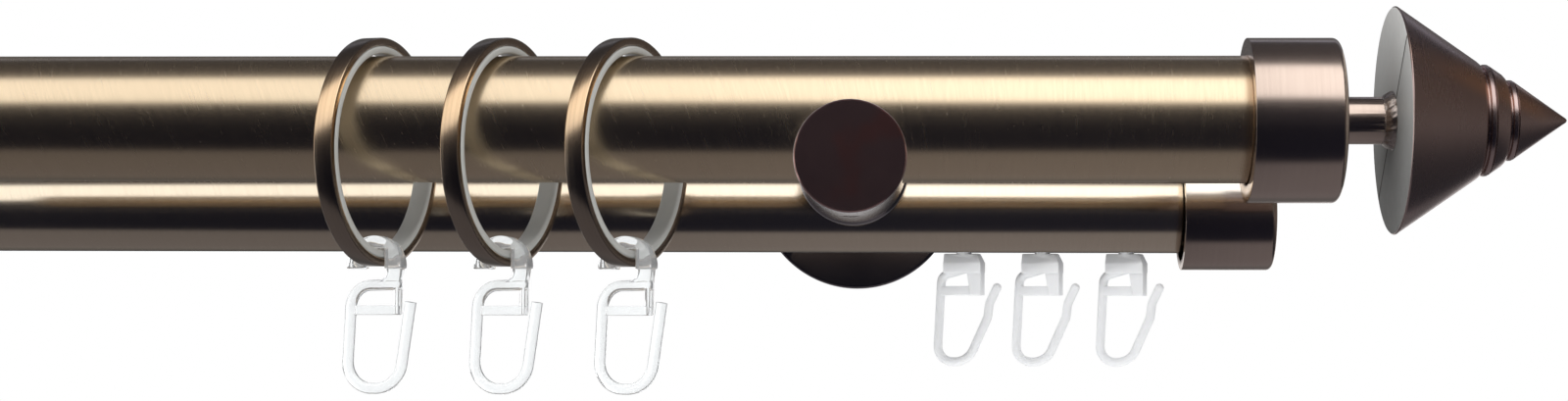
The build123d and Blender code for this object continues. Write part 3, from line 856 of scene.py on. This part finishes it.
# The shell is a tube about X, spun from the back, under the poles, past the front and over the top
shape = bmesh.new()
startAngle, stopAngle = math.radians(shellStops[0][0]), math.radians(shellStops[-1][0])
ends = [shape.verts.new((side * studio["shellHalfLength"], -studio["shellRadius"] * math.cos(startAngle),
                         studio["shellRadius"] * math.sin(startAngle))) for side in (-1, 1)]
line = shape.edges.new(ends)
bmesh.ops.spin(shape, geom=ends + [line], axis=(1, 0, 0), cent=(0, 0, 0), dvec=(0, 0, 0),
               angle=startAngle - stopAngle, steps=96)
shell = addStage("studioShell", shape, shellFinish(), True)
shell.location.y = studio["shellY"]
shell.visible_transmission = True  # the clear hooks take their dark outlines from it

shape = bmesh.new()
cardPlace = Matrix.Translation((studio["endCardX"], studio["shellY"], 0))
bmesh.ops.create_grid(shape, x_segments=1, y_segments=1, size=studio["endCardHalf"],
                      matrix=cardPlace @ Matrix.Rotation(math.pi / 2, 4, "Y"))
addStage("studioEndCard", shape, endCardFinish(), True)

shape = bmesh.new()
bmesh.ops.create_grid(shape, x_segments=1, y_segments=1, size=studio["floorSize"] / 2,
                      matrix=Matrix.Translation((0, studio["floorY"], studio["floorZ"])))
floorFinish = Finish("paleFloor")
grain = floorFinish.noise(floorFinish.place(), 60.0, 3.0)
value = studio["floorShade"]
pale = floorFinish.blend(grain, shade(value, value, value), shade(value * 0.97, value * 0.97, value * 0.96))
floor = addStage("studioFloor", shape, floorFinish.surface(Base_Color=pale, Roughness=0.7), False)
floor.visible_glossy = False  # the shell's low cards stand for it in the metal

# White shows to the camera, to gloss and through clear plastic; plain soft light falls on the rest
world = bpy.data.worlds.new("studioWorld")
scene.world = world
world.use_nodes = True
world.cycles.sampling_method = "NONE"  # even white needs no aimed rays, which would pass the shell
tree = world.node_tree
tree.nodes.clear()
path = tree.nodes.new("ShaderNodeLightPath")
seen = tree.nodes.new("ShaderNodeMath")
seen.operation = "MAXIMUM"
shown = tree.nodes.new("ShaderNodeMath")
shown.operation = "MAXIMUM"
tree.links.new(path.outputs["Is Camera Ray"], seen.inputs[0])
tree.links.new(path.outputs["Is Glossy Ray"], seen.inputs[1])
tree.links.new(seen.outputs[0], shown.inputs[0])
tree.links.new(path.outputs["Is Transmission Ray"], shown.inputs[1])
soft = tree.nodes.new("ShaderNodeBackground")
soft.inputs["Color"].default_value = shade(1, 1, 1)
soft.inputs["Strength"].default_value = studio["skyStrength"]
white = tree.nodes.new("ShaderNodeBackground")
white.inputs["Color"].default_value = shade(1, 1, 1)
white.inputs["Strength"].default_value = 1.0
choose = tree.nodes.new("ShaderNodeMixShader")
output = tree.nodes.new("ShaderNodeOutputWorld")
tree.links.new(shown.outputs[0], choose.inputs["Fac"])
tree.links.new(soft.outputs[0], choose.inputs[1])
tree.links.new(white.outputs[0], choose.inputs[2])
tree.links.new(choose.outputs[0], output.inputs["Surface"])


# Lamps light what is matt; the metals take their gloss from the shell
def addLamp(name, place, target, size, watts):
    data = bpy.data.lights.new(name, "AREA")
    data.shape = "RECTANGLE"
    data.size, data.size_y = size
    data.energy = watts
    lamp = bpy.data.objects.new(name, data)
    lamp.location = place
    lamp.rotation_mode = "QUATERNION"
    lamp.rotation_quaternion = (Vector(target) - Vector(place)).to_track_quat("-Z", "Y")
    lamp.visible_glossy = False
    lamp.visible_camera = False
    scene.collection.objects.link(lamp)


addLamp("keyLamp", (-0.3, -0.9, 0.95), (0, -0.1, 0), (1.6, 0.7), 20)
addLamp("fillLamp", (0.8, 0.7, 0.8), (0, -0.1, 0), (1.0, 0.8), 6)
scene.view_settings.view_transform = "Standard"
print("studio made")
